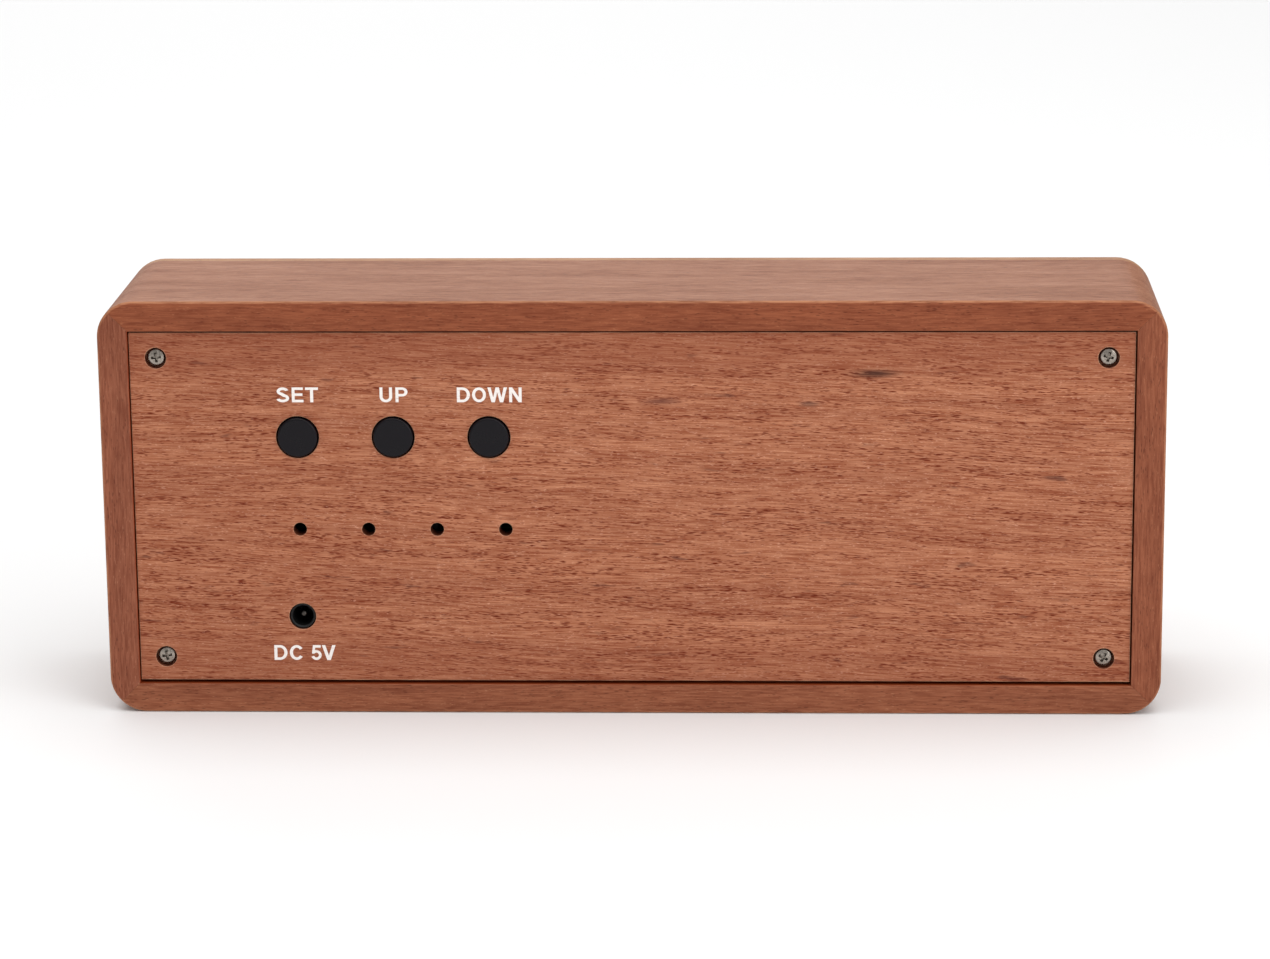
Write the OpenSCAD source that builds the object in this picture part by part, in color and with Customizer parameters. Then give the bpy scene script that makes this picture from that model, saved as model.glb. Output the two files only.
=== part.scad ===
// Wooden alarm clock: a mitred wooden case with a display that shines through the front,
// and keys, sound holes and a power socket in the rear panel.
// Origin at the middle of the underside. +X is to the right seen from the front, +Y to the rear, +Z up.

/* [Case] */
// Width of the case, side to side
case_w = 180; // [168:1:240]
// Depth of the case, front to rear
case_d = 40; // [38:1:60]
// Height of the case
case_h = 72; // [66:1:100]
// Thickness of the four mitred boards
board_t = 5.1; // [4:0.1:6]
// Radius of the four outer corners
corner_r = 6.2; // [4:0.1:9]
// Thickness of the front panel
front_t = 4; // [3:0.25:5]
// Rounding of the front panel's edge
front_round = 2; // [0.5:0.25:2.5]
// Easing of the boards' rear edge
rear_round = 0.5; // [0.2:0.1:1]
// Wood left in front of the display
skin_t = 0.6; // [0.4:0.1:1.2]

/* [Rear panel] */
// Thickness of the rear panel
panel_t = 3; // [2.5:0.25:4]
// How far the panel lies inside the boards' rear edge
panel_recess = 0.5; // [0.5:0.1:1.5]
// Gap between the panel and each side board
panel_gap_side = 0.25; // [0.1:0.05:0.6]
// Gap between the panel and the top board
panel_gap_top = 0.3; // [0.1:0.05:0.6]
// Gap between the panel and the bottom board
panel_gap_bottom = 0.55; // [0.1:0.05:1]
// Distance of each panel screw from the two boards beside it
screw_inset = 4.7; // [4:0.1:6]
// Length of the corner blocks, front to rear
block_len = 10; // [9:0.5:14]

/* [Screws] */
// Diameter of the screw heads
screw_head_d = 3; // [2.6:0.1:3.4]
// Height of the screw heads
screw_head_h = 1.1; // [0.8:0.1:1.3]
// Radius of the dome on the screw heads
screw_dome_r = 4.5; // [2:0.1:6]
// Diameter of the screw shanks
screw_d = 1.7; // [1.4:0.1:2]
// Length of the panel screws under the head
panel_screw_len = 8; // [6:0.5:9]
// Length of the board screws under the head
board_screw_len = 5; // [4:0.5:6]
// Length of the screw points
screw_point = 1; // [0.5:0.1:1.5]
// Depth of the panel screws' heads below the panel's face
screw_sink = 0.5; // [0.2:0.1:0.8]
// Gap round a sunk screw head
screw_head_gap = 0.3; // [0.1:0.05:0.5]
// Gap round a shank that passes through a piece
screw_gap = 0.15; // [0.05:0.05:0.3]
// Gap round a shank that bites into a piece, filled by its thread
thread_gap = 0.05; // [0.02:0.01:0.1]

/* [Keys] */
// Distance of the first key, first sound hole and socket from the case's side
column_inset = 33.5; // [28:0.5:42]
// Height of the row of keys above the base
key_z = 48.5; // [44:0.1:52]
// Distance between keys
key_pitch = 16.25; // [13:0.25:18]
// Diameter of the key caps
key_d = 6.8; // [5.5:0.1:8]
// How far the caps stand out of the panel
key_proud = 0.5; // [0.3:0.1:0.5]
// Rounding of the caps' front edge
key_round = 0.35; // [0.1:0.05:0.6]
// Gap round a cap in its hole
key_gap = 0.25; // [0.15:0.05:0.4]
// Travel of a key
key_travel = 0.5; // [0.25:0.05:0.8]
// Overlap of a key's flange behind the panel
flange_lip = 0.85; // [0.5:0.05:1.2]
// Thickness of a key's flange
flange_t = 1; // [0.8:0.1:1.5]
// Gap between a key's flange and the panel
flange_gap = 0.05; // [0.03:0.01:0.1]
// Diameter of a key's stem
stem_d = 5; // [4.5:0.1:6]
// Length of a key's stem behind the flange
stem_len = 1.2; // [1:0.1:2]

/* [Switches] */
// Side of a switch
switch_w = 6; // [5.5:0.1:7]
// Height of a switch's base
switch_base_h = 3.4; // [3:0.1:4]
// Thickness of a switch's cover
switch_cover_t = 0.2; // [0.15:0.05:0.4]
// Diameter of a plunger
plunger_d = 3.5; // [3:0.1:3.8]
// Length of a plunger inside its key
plunger_grip = 1.3; // [1:0.1:1.6]
// Length of a plunger inside its switch
plunger_seat = 0.8; // [0.6:0.1:1]
// Gap round a plunger in its switch
plunger_gap = 0.1; // [0.05:0.01:0.15]
// Gap round a plunger in its key
plunger_fit = 0.02; // [0.01:0.01:0.05]
// Room left between a pressed key and its switch
press_gap = 0.2; // [0.1:0.05:0.4]
// Width of a switch's legs
leg_w = 0.7; // [0.5:0.1:1]
// Thickness of a switch's legs
leg_t = 0.3; // [0.2:0.05:0.4]
// Length of a leg's foot on the board
leg_foot = 1; // [0.6:0.1:1.4]
// Distance between the legs on one side
leg_pitch = 4.5; // [4:0.1:4.6]

/* [Sound holes] */
// Number of sound holes
sound_count = 4; // [3:1:5]
// Height of the row of sound holes above the base
sound_z = 32.4; // [30:0.1:34]
// Distance between sound holes
sound_pitch = 11.7; // [9:0.1:12.5]
// Diameter of a sound hole
sound_d = 2.3; // [1.5:0.1:3]
// Diameter of the buzzer
buzzer_d = 12; // [9:0.5:14]
// Height of the buzzer
buzzer_h = 5.5; // [4:0.25:5.5]
// Diameter of the buzzer's own hole
buzzer_hole_d = 2.2; // [1.5:0.1:3]
// Depth of the buzzer's own hole
buzzer_hole_depth = 1.5; // [1:0.25:2.5]
// Chamfer of the buzzer's edge
buzzer_chamfer = 0.4; // [0.2:0.1:0.8]

/* [Power socket] */
// Height of the socket above the base
jack_z = 17; // [16:0.1:19]
// Diameter of the socket's nose
jack_nose_d = 4.2; // [4.1:0.1:5]
// Diameter of the socket's bore
jack_bore_d = 3.6; // [3.4:0.1:3.8]
// Chamfer at the mouth of the bore
jack_lead = 0.15; // [0.05:0.05:0.2]
// Diameter of the socket's pin
jack_pin_d = 1.3; // [1:0.05:1.5]
// Diameter of the pin's root in the socket's floor
jack_root_d = 1.8; // [1.6:0.1:2.2]
// Side of the socket's body
jack_body_w = 6.4; // [5.6:0.1:7]
// Thickness of the socket's floor
jack_floor_t = 1; // [0.8:0.1:1.5]
// Depth of the nose below the panel's face
jack_sink = 0.3; // [0.1:0.1:0.6]
// Depth of the pin's tip below the panel's face
pin_sink = 1.5; // [0.8:0.1:3]
// Rounding of the pin's tip
pin_round = 0.55; // [0.3:0.05:0.6]
// Gap round the nose in the panel, and between the body and the panel
jack_gap = 0.2; // [0.05:0.05:0.3]
// Gap round the pin's root
root_gap = 0.02; // [0.01:0.01:0.05]
// Thickness of the side contact
contact_t = 0.3; // [0.2:0.05:0.4]
// Width of the side contact
contact_w = 1.4; // [1:0.1:1.8]
// Length of the side contact
contact_len = 4.5; // [3.5:0.1:5]
// Gap round the side contact
contact_gap = 0.1; // [0.05:0.05:0.2]

/* [Circuit boards] */
// Thickness of both circuit boards
pcb_t = 1.6; // [1:0.2:2]
// Key board beyond the outer keys
key_board_side = 12; // [10:0.5:13]
// Key board above the keys and below the socket
key_board_end = 8; // [6.5:0.1:9]
// Distance of the posts from the key board's edges
post_inset = 3.5; // [3:0.1:4]
// Diameter of the key board's posts
post_d = 5; // [4.2:0.1:5.5]
// Main board beyond the display, each side
main_board_side = 17; // [14:0.5:18]
// Main board beyond the display, above and below
main_board_end = 7; // [4:0.5:8]
// Distance of the standoffs from the main board's edges
standoff_inset = 4.5; // [3.5:0.1:5]
// Diameter of the main board's standoffs
standoff_d = 6; // [5:0.1:7]

/* [Display] */
// Height of a figure
digit_h = 30; // [24:0.5:32]
// Width of a figure
digit_w = 17; // [14:0.5:19]
// Distance between two figures
digit_pitch = 26; // [22:0.5:27]
// Extra room between the middle figures for the colon
colon_room = 12; // [8:0.5:14]
// Diameter of a colon dot
colon_d = 4; // [3:0.1:5]
// Distance of a colon dot from the middle
colon_rise = 7; // [5:0.5:10]
// Width of a segment
segment_w = 3.4; // [2.6:0.1:4]
// Gap between the ends of segments
segment_gap = 1.2; // [0.8:0.1:1.6]
// Display housing beyond the figures, each side
display_side = 4.5; // [2:0.5:6]
// Display housing beyond the figures, above and below
display_end = 3; // [2:0.5:4]
// Thickness of the display housing
display_t = 9; // [7:0.5:10]
// Thickness of the lenses in the wells
lens_t = 3; // [2:0.25:4]
// Gap round the display housing in its pocket
pocket_gap = 0.5; // [0.2:0.1:1]
// Gap between the display and the wood in front of it
display_gap = 0.1; // [0.05:0.05:0.3]
// Gap round a colon lens
colon_gap = 0.03; // [0.01:0.01:0.05]
// Length of a light chip
led_len = 2; // [1.6:0.1:2.4]
// Width of a light chip
led_w = 1.25; // [0.8:0.05:1.6]
// Height of a light chip
led_h = 0.8; // [0.6:0.1:1.2]

/* [Parts on the main board] */
// Place of the clock chip, from the middle of the board
chip_x = -48; // [-52:1:-44]
// Length of the clock chip
chip_len = 18; // [10:0.5:21]
// Width of the clock chip
chip_w = 7.5; // [4:0.5:8]
// Height of the clock chip above the board
chip_h = 2.4; // [1.8:0.1:3]
// Standing height of the clock chip's body
chip_standoff = 0.2; // [0.1:0.05:0.4]
// Number of leads on one side of the clock chip
chip_leads = 14; // [8:1:14]
// Distance between the clock chip's leads
lead_pitch = 1.27; // [0.8:0.01:1.27]
// Width of a lead
lead_w = 0.45; // [0.3:0.05:0.5]
// Length of a lead beyond the body
lead_len = 1.4; // [1:0.1:1.8]
// Thickness of a lead
lead_t = 0.25; // [0.2:0.05:0.3]
// Distance of the crystal and the capacitor below the middle of the board
low_row = 16; // [14:0.5:18]
// Length of the crystal's can
crystal_len = 11; // [9:0.5:12]
// Width of the crystal's can
crystal_w = 4.6; // [4:0.1:5]
// Height of the crystal's can
crystal_h = 3.5; // [3:0.1:6]
// Place of the capacitor, from the middle of the board
capacitor_x = -28; // [-32:1:-24]
// Diameter of the capacitor
capacitor_d = 6.3; // [5:0.1:8]
// Height of the capacitor
capacitor_h = 11; // [7:0.5:11]
// Width of the groove round the capacitor's foot
capacitor_groove = 0.5; // [0.3:0.1:0.6]
// Place of the coin cell, from the middle of the board
cell_x = 40; // [36:1:44]
// Diameter of the coin cell
cell_d = 20; // [16:0.5:20]
// Thickness of the coin cell
cell_t = 3.2; // [1.6:0.1:3.2]
// Gap round the coin cell in its holder
cell_gap = 0.15; // [0.1:0.05:0.3]
// Wall of the coin cell's holder
holder_wall = 1.6; // [1.2:0.1:2]
// Floor of the coin cell's holder
holder_floor = 0.8; // [0.6:0.1:1.2]
// Width of the coin cell's clip
clip_w = 4; // [3:0.5:6]
// Thickness of the coin cell's clip
clip_t = 0.3; // [0.2:0.05:0.5]
// Gap between the clip and the holder's wall
clip_gap = 0.1; // [0.05:0.05:0.2]

/* [Cable] */
// Height of the cable above the base
cable_z = 34; // [30:0.5:38]
// Free run of the cable between its plugs, across the case
cable_run = 18; // [14:0.5:22]
// Width of the cable
cable_w = 11; // [8:0.5:12]
// Thickness of the cable
cable_t = 1; // [0.8:0.1:1.4]
// Radius of the cable's bends, along its middle
cable_bend = 4.5; // [3:0.25:5]
// Length of a header
header_len = 7.6; // [7:0.1:9]
// Height of a header
header_h = 4.8; // [4.6:0.1:5.5]
// Wall of a header
header_wall = 0.8; // [0.6:0.1:1]
// Distance of the key board's header from the board's edge
header_inset = 0.5; // [0.2:0.1:1]
// Width of a plug
plug_w = 12.2; // [12:0.1:14]
// Thickness of a plug
plug_t = 3; // [2.2:0.1:3]
// Length of a plug inside its header
plug_seat = 5.8; // [4:0.1:6]
// Length of a plug outside its header
plug_out = 2; // [1:0.1:3]
// Gap round a plug in its header
plug_gap = 0.1; // [0.05:0.05:0.15]

/* [Hidden] */
$fn = 48;
eps = 1;

// Case and opening
front_y = -case_d / 2;
rear_y = case_d / 2;
mid_z = case_h / 2;
sleeve_d = case_d - front_t;
open_w = case_w - 2 * board_t;
open_h = case_h - 2 * board_t;

// Rear panel, and depths measured in from the boards' rear edge
panel_w = open_w - 2 * panel_gap_side;
panel_h = open_h - panel_gap_top - panel_gap_bottom;
panel_in = panel_recess + panel_t;
screw_x = open_w / 2 - screw_inset;
screw_rise = open_h / 2 - screw_inset;
head_bore_d = screw_head_d + 2 * screw_head_gap;
head_bore_depth = screw_sink + screw_head_h;

// Keys and switches, from the rear inwards
column_x = case_w / 2 - column_inset;
key_hole_d = key_d + 2 * key_gap;
flange_d = key_hole_d + 2 * flange_lip;
key_face = panel_recess - key_proud;
flange_at = panel_in + flange_gap;
stem_end = flange_at + flange_t + stem_len;
switch_top = stem_end + key_travel + press_gap;
key_board_at = switch_top + switch_cover_t + switch_base_h;
key_board_in = key_board_at + pcb_t;
post_len = key_board_at - panel_in;
plunger_len = plunger_grip + key_travel + press_gap + switch_cover_t + plunger_seat;
plunger_bore_d = plunger_d + 2 * plunger_gap;
plunger_bore_depth = plunger_seat + key_travel + press_gap;

// Key board
key_board_x0 = column_x - 2 * key_pitch - key_board_side;
key_board_x1 = column_x + key_board_side;
key_board_z0 = jack_z - key_board_end;
key_board_z1 = key_z + key_board_end;
buzzer_x = column_x - (sound_count - 1) * sound_pitch / 2;

// Display and main board, from the front inwards
display_w = 3 * digit_pitch + colon_room + digit_w + 2 * display_side;
display_h = digit_h + 2 * display_end;
display_at = skin_t + display_gap;
main_board_at = display_at + display_t;
main_board_in = main_board_at + pcb_t;
main_board_w = display_w + 2 * main_board_side;
main_board_h = display_h + 2 * main_board_end;
standoff_x = main_board_w / 2 - standoff_inset;
standoff_rise = main_board_h / 2 - standoff_inset;
standoff_len = main_board_at - front_t;

// Middle lines of a figure's segments
segment_x = (digit_w - segment_w) / 2;
segment_z = (digit_h - segment_w) / 2;

// Flat cable, from the main board's plug to the key board's plug
header_w = plug_w + 2 * plug_gap + 2 * header_wall;
key_header_x = key_board_x0 + header_inset;
cable_x1 = key_header_x - plug_out;
cable_x0 = cable_x1 - cable_run;
main_header_x = cable_x0 - plug_out;
cable_y0 = front_y + main_board_in + header_h / 2;
cable_y1 = rear_y - key_board_in - header_h / 2;
cable_rise = cable_y1 - cable_y0;
bend_r = min(cable_bend, cable_rise / 2);

// Lays children out with x across, y up and z running inwards from a depth below the rear edge
module from_rear(depth) {
    translate([0, rear_y - depth, 0]) rotate([90, 0, 0]) children();
}

// The same from the front, with z running inwards
module from_front(depth) {
    translate([0, front_y + depth, 0]) mirror([0, 1, 0]) rotate([90, 0, 0]) children();
}

// Children at the four corners of a rectangle
module at_corners(x, y) {
    for (sx = [-1, 1]) {
        for (sy = [-1, 1]) {
            translate([sx * x, sy * y, 0]) children();
        }
    }
}

// Half section of a plate: len wide and t thick, its outer edge at z = 0 rounded by e
module edge_section(len, t, e) {
    difference() {
        square([len, t]);
        translate([len - e, 0]) difference() {
            translate([0, -e]) square([2 * e, 2 * e]);
            translate([0, e]) circle(e);
        }
    }
}

// Both halves of that section
module full_section(w, t, e) {
    edge_section(w / 2, t, e);
    mirror([1, 0]) edge_section(w / 2, t, e);
}

// Plate with round corners, its edge at z = 0 rounded by e
module round_plate(w, h, t, r, e) {
    rotate([90, 0, 0]) linear_extrude(h - 2 * r, center = true) full_section(w, t, e);
    rotate([90, 0, 90]) linear_extrude(w - 2 * r, center = true) full_section(h, t, e);
    for (turn = [0 : 3]) {
        sx = (turn == 0 || turn == 3) ? 1 : -1;
        sy = turn < 2 ? 1 : -1;
        translate([sx * (w / 2 - r), sy * (h / 2 - r), 0])
            rotate([0, 0, 90 * turn]) rotate_extrude(angle = 90) edge_section(r, t, e);
    }
}

// The four boards in one piece, before the mitres are cut
module sleeve() {
    from_rear(0) translate([0, mid_z, 0]) difference() {
        round_plate(case_w, case_h, sleeve_d, corner_r, rear_round);
        translate([-open_w / 2, -open_h / 2, -eps]) cube([open_w, open_h, sleeve_d + 2 * eps]);
    }
}

// What the mitre cuts leave of the top board (side = 1) or the bottom board (side = -1)
module long_wedge(side) {
    far = mid_z + eps;
    from_rear(-eps) translate([0, mid_z, 0]) linear_extrude(sleeve_d + 2 * eps)
        polygon([[-case_w / 2 - eps, side * far], [case_w / 2 + eps, side * far],
            [case_w / 2 - mid_z, 0], [mid_z - case_w / 2, 0]]);
}

// What the mitre cuts leave of the right board (side = 1) or the left board (side = -1)
module short_wedge(side) {
    far = case_w / 2 + eps;
    from_rear(-eps) translate([0, mid_z, 0]) linear_extrude(sleeve_d + 2 * eps)
        polygon([[side * far, mid_z + eps], [side * far, -mid_z - eps],
            [side * (case_w / 2 - mid_z), 0]]);
}

module case_top() {
    color("sienna") intersection() {
        sleeve();
        long_wedge(1);
    }
}

module case_bottom() {
    color("sienna") intersection() {
        sleeve();
        long_wedge(-1);
    }
}

module case_left() {
    color("sienna") intersection() {
        sleeve();
        short_wedge(-1);
    }
}

module case_right() {
    color("sienna") intersection() {
        sleeve();
        short_wedge(1);
    }
}

// Front panel, milled out from behind so that the display shines through a thin skin
module front_panel() {
    pocket_w = display_w + 2 * pocket_gap;
    pocket_h = display_h + 2 * pocket_gap;
    color("sienna") from_front(0) translate([0, mid_z, 0]) difference() {
        round_plate(case_w, case_h, front_t, corner_r, front_round);
        translate([-pocket_w / 2, -pocket_h / 2, skin_t]) cube([pocket_w, pocket_h, front_t]);
    }
}

// Places of the keys, from the first one at the column
module at_keys() {
    for (i = [0 : 2]) {
        at_key(i) children();
    }
}

module at_key(i) {
    translate([column_x - i * key_pitch, key_z, 0]) children();
}

// Through holes are drilled from outside the panel's face to past its inner face
module drill(d) {
    translate([0, 0, -eps]) cylinder(d = d, h = panel_t + 2 * eps);
}

module rear_panel() {
    color("indianred") from_rear(panel_recess) difference() {
        translate([-panel_w / 2, board_t + panel_gap_bottom, 0]) cube([panel_w, panel_h, panel_t]);
        at_keys() drill(key_hole_d);
        for (i = [0 : sound_count - 1]) {
            translate([column_x - i * sound_pitch, sound_z, 0]) drill(sound_d);
        }
        translate([column_x, jack_z, 0]) drill(jack_nose_d + 2 * jack_gap);
        translate([0, mid_z, 0]) at_corners(screw_x, screw_rise) {
            drill(screw_d + 2 * screw_gap);
            translate([0, 0, -eps]) cylinder(d = head_bore_d, h = head_bore_depth + eps);
        }
    }
}

// Wooden blocks glued into the corners, drilled for the panel screws
module corner_blocks() {
    side = 2 * screw_inset;
    color("burlywood") from_rear(panel_in) translate([0, mid_z, 0]) at_corners(screw_x, screw_rise)
        difference() {
            translate([-side / 2, -side / 2, 0]) cube([side, side, block_len]);
            translate([0, 0, -eps]) cylinder(d = screw_d + 2 * thread_gap, h = panel_screw_len + eps);
        }
}

// Domed screw with its head's top at z = 0, running inwards
module screw(len) {
    rotate_extrude() {
        intersection() {
            square([screw_head_d / 2, screw_head_h]);
            translate([0, screw_dome_r]) circle(screw_dome_r);
        }
        polygon([[0, screw_head_h - screw_head_h / 4], [screw_d / 2, screw_head_h - screw_head_h / 4],
            [screw_d / 2, screw_head_h + len - screw_point], [0, screw_head_h + len]]);
    }
}

module panel_screws() {
    color("silver") from_rear(panel_recess + screw_sink) translate([0, mid_z, 0])
        at_corners(screw_x, screw_rise) screw(panel_screw_len);
}

// Moulded key: cap, flange that keeps it behind the panel, and stem with a socket for the plunger
module key() {
    rotate_extrude() difference() {
        union() {
            translate([0, key_face]) edge_section(key_d / 2, flange_at + flange_t - key_face, key_round);
            translate([0, flange_at]) square([flange_d / 2, flange_t]);
            translate([0, flange_at]) square([stem_d / 2, flange_t + stem_len]);
        }
        translate([0, stem_end - plunger_grip])
            square([plunger_d / 2 + plunger_fit, plunger_grip + eps]);
    }
}

module set_key() {
    color("dimgray") from_rear(0) at_key(0) key();
}

module up_key() {
    color("dimgray") from_rear(0) at_key(1) key();
}

module down_key() {
    color("dimgray") from_rear(0) at_key(2) key();
}

// Plunger of a switch, held in its key's stem
module plunger() {
    cylinder(d = plunger_d, h = plunger_len);
}

module set_plunger() {
    color("gray") from_rear(stem_end - plunger_grip) at_key(0) plunger();
}

module up_plunger() {
    color("gray") from_rear(stem_end - plunger_grip) at_key(1) plunger();
}

module down_plunger() {
    color("gray") from_rear(stem_end - plunger_grip) at_key(2) plunger();
}

module switch_bases() {
    color("black") from_rear(switch_top + switch_cover_t) at_keys() difference() {
        translate([-switch_w / 2, -switch_w / 2, 0]) cube([switch_w, switch_w, switch_base_h]);
        translate([0, 0, -eps]) cylinder(d = plunger_bore_d, h = plunger_bore_depth + eps);
    }
}

module switch_covers() {
    color("silver") from_rear(switch_top) at_keys() difference() {
        translate([-switch_w / 2, -switch_w / 2, 0]) cube([switch_w, switch_w, switch_cover_t]);
        translate([0, 0, -eps]) cylinder(d = plunger_bore_d, h = switch_cover_t + 2 * eps);
    }
}

// Two legs on each side of a switch, bent out along the board
module switch_legs() {
    rise = switch_base_h / 2;
    color("silver") from_rear(key_board_at - rise) at_keys() for (side = [0, 1]) {
        mirror([side, 0, 0]) for (end = [-1, 1]) {
            translate([switch_w / 2, end * leg_pitch / 2 - leg_w / 2, 0]) {
                cube([leg_t, leg_w, rise]);
                translate([0, 0, rise - leg_t]) cube([leg_t + leg_foot, leg_w, leg_t]);
            }
        }
    }
}

// Places of the key board's four posts
module at_posts() {
    for (x = [key_board_x0 + post_inset, key_board_x1 - post_inset]) {
        for (z = [key_board_z0 + post_inset, key_board_z1 - post_inset]) {
            translate([x, z, 0]) children();
        }
    }
}

module key_board() {
    color("darkgreen") from_rear(key_board_at) difference() {
        translate([key_board_x0, key_board_z0, 0])
            cube([key_board_x1 - key_board_x0, key_board_z1 - key_board_z0, pcb_t]);
        at_posts() translate([0, 0, -eps]) cylinder(d = screw_d + 2 * screw_gap, h = pcb_t + 2 * eps);
    }
}

module key_board_posts() {
    color("white") from_rear(panel_in) at_posts() difference() {
        cylinder(d = post_d, h = post_len);
        translate([0, 0, post_len - board_screw_len + pcb_t])
            cylinder(d = screw_d + 2 * thread_gap, h = board_screw_len);
    }
}

module key_board_screws() {
    color("silver") from_rear(key_board_in + screw_head_h) at_posts() mirror([0, 0, 1])
        screw(board_screw_len);
}

// Moulded socket: body on the board, nose through the panel, bore for the plug
module jack_housing() {
    nose_at = panel_recess + jack_sink;
    body_at = panel_in + jack_gap;
    floor_at = key_board_at - jack_floor_t;
    slot_x = jack_bore_d / 2 + contact_t + 2 * contact_gap;
    slot_w = contact_w + 2 * contact_gap;
    color("black") from_rear(0) translate([column_x, jack_z, 0]) difference() {
        union() {
            translate([0, 0, nose_at]) cylinder(d = jack_nose_d, h = body_at - nose_at + eps);
            translate([-jack_body_w / 2, -jack_body_w / 2, body_at])
                cube([jack_body_w, jack_body_w, key_board_at - body_at]);
        }
        translate([0, 0, nose_at - eps]) cylinder(d = jack_bore_d, h = floor_at - nose_at + eps);
        translate([0, 0, nose_at - eps])
            cylinder(d1 = jack_bore_d + 2 * (jack_lead + eps), d2 = jack_bore_d, h = jack_lead + eps);
        translate([0, 0, floor_at - eps])
            cylinder(d = jack_root_d + 2 * root_gap, h = jack_floor_t + 2 * eps);
        translate([-slot_x, -slot_w / 2, key_board_at - contact_len - contact_gap])
            cube([slot_x - jack_bore_d / 4, slot_w, contact_len + contact_gap + eps]);
    }
}

module jack_pin() {
    floor_at = key_board_at - jack_floor_t;
    tip_at = panel_recess + pin_sink;
    color("silver") from_rear(0) translate([column_x, jack_z, 0]) {
        rotate_extrude() translate([0, tip_at])
            edge_section(jack_pin_d / 2, floor_at - tip_at, pin_round);
        translate([0, 0, floor_at]) cylinder(d = jack_root_d, h = jack_floor_t);
    }
}

module jack_contact() {
    inner_x = jack_bore_d / 2 + contact_gap;
    color("goldenrod") from_rear(key_board_at - contact_len) translate([column_x, jack_z, 0])
        translate([-inner_x - contact_t, -contact_w / 2, 0]) cube([contact_t, contact_w, contact_len]);
}

module buzzer() {
    r = buzzer_d / 2;
    color("black") from_rear(key_board_at - buzzer_h) translate([buzzer_x, sound_z, 0])
        difference() {
            rotate_extrude() polygon([[0, 0], [r - buzzer_chamfer, 0], [r, buzzer_chamfer],
                [r, buzzer_h], [0, buzzer_h]]);
            translate([0, 0, -eps]) cylinder(d = buzzer_hole_d, h = buzzer_hole_depth + eps);
        }
}

module main_board() {
    color("darkgreen") from_front(main_board_at) translate([0, mid_z, 0]) difference() {
        translate([-main_board_w / 2, -main_board_h / 2, 0]) cube([main_board_w, main_board_h, pcb_t]);
        at_corners(standoff_x, standoff_rise) translate([0, 0, -eps])
            cylinder(d = screw_d + 2 * screw_gap, h = pcb_t + 2 * eps);
    }
}

module board_standoffs() {
    color("white") from_front(front_t) translate([0, mid_z, 0]) at_corners(standoff_x, standoff_rise)
        difference() {
            cylinder(d = standoff_d, h = standoff_len);
            translate([0, 0, standoff_len - board_screw_len + pcb_t])
                cylinder(d = screw_d + 2 * thread_gap, h = board_screw_len);
        }
}

module board_screws() {
    color("silver") from_front(main_board_in + screw_head_h) translate([0, mid_z, 0])
        at_corners(standoff_x, standoff_rise) mirror([0, 0, 1]) screw(board_screw_len);
}

// One segment with pointed ends, lying along x
module segment(len) {
    tip = len / 2;
    half = segment_w / 2;
    polygon([[-tip, 0], [half - tip, half], [tip - half, half], [tip, 0], [tip - half, -half],
        [half - tip, -half]]);
}

// Places of the four figures, with room for the colon between the middle two
module at_digits() {
    for (i = [-1.5 : 1 : 1.5]) {
        translate([i * digit_pitch + sign(i) * colon_room / 2, 0, 0]) children();
    }
}

// Places of a figure's three level segments and four upright ones
module at_level_segments() {
    at_digits() for (row = [-1 : 1]) {
        translate([0, row * segment_z, 0]) children();
    }
}

module at_upright_segments() {
    at_digits() at_corners(segment_x, segment_z / 2) rotate([0, 0, 90]) children();
}

module at_colon() {
    for (side = [-1, 1]) {
        translate([0, side * colon_rise, 0]) children();
    }
}

// Outlines of all wells or lenses, with gap as the room left round a colon dot
module wells(gap) {
    at_level_segments() segment(2 * segment_x - segment_gap);
    at_upright_segments() segment(segment_z - segment_gap);
    at_colon() circle(d = colon_d - 2 * gap);
}

module display_housing() {
    color("whitesmoke") from_front(display_at) translate([0, mid_z, 0]) difference() {
        translate([-display_w / 2, -display_h / 2, 0]) cube([display_w, display_h, display_t]);
        translate([0, 0, -eps]) linear_extrude(display_t + 2 * eps) wells(0);
    }
}

module display_lenses() {
    color("ivory") from_front(display_at) translate([0, mid_z, 0]) linear_extrude(lens_t) wells(colon_gap);
}

// One light chip on the main board behind each lens
module light_chips() {
    color("gold") from_front(main_board_at - led_h) translate([0, mid_z, 0]) {
        at_level_segments() light_chip();
        at_upright_segments() light_chip();
        at_colon() light_chip();
    }
}

module light_chip() {
    translate([-led_len / 2, -led_w / 2, 0]) cube([led_len, led_w, led_h]);
}

// Clock chip with its body upright on the board and a row of leads down each side
module clock_chip() {
    lead_rise = (chip_h + chip_standoff) / 2;
    color("black") from_front(main_board_in) translate([chip_x, mid_z, 0]) {
        translate([-chip_w / 2, -chip_len / 2, chip_standoff])
            cube([chip_w, chip_len, chip_h - chip_standoff]);
        for (side = [0, 1]) {
            mirror([side, 0, 0]) for (i = [0 : chip_leads - 1]) {
                translate([chip_w / 2, (i - (chip_leads - 1) / 2) * lead_pitch - lead_w / 2, 0]) {
                    translate([0, 0, lead_rise - lead_t]) cube([lead_len / 2, lead_w, lead_t]);
                    translate([lead_len / 2 - lead_t, 0, 0]) cube([lead_t, lead_w, lead_rise]);
                    translate([lead_len / 2 - lead_t, 0, 0]) cube([lead_len / 2 + lead_t, lead_w, lead_t]);
                }
            }
        }
    }
}

module crystal() {
    reach = (crystal_len - crystal_w) / 2;
    color("silver") from_front(main_board_in) translate([chip_x, mid_z - low_row, 0])
        linear_extrude(crystal_h) {
            square([2 * reach, crystal_w], center = true);
            for (side = [-1, 1]) {
                translate([side * reach, 0]) circle(d = crystal_w);
            }
        }
}

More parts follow.
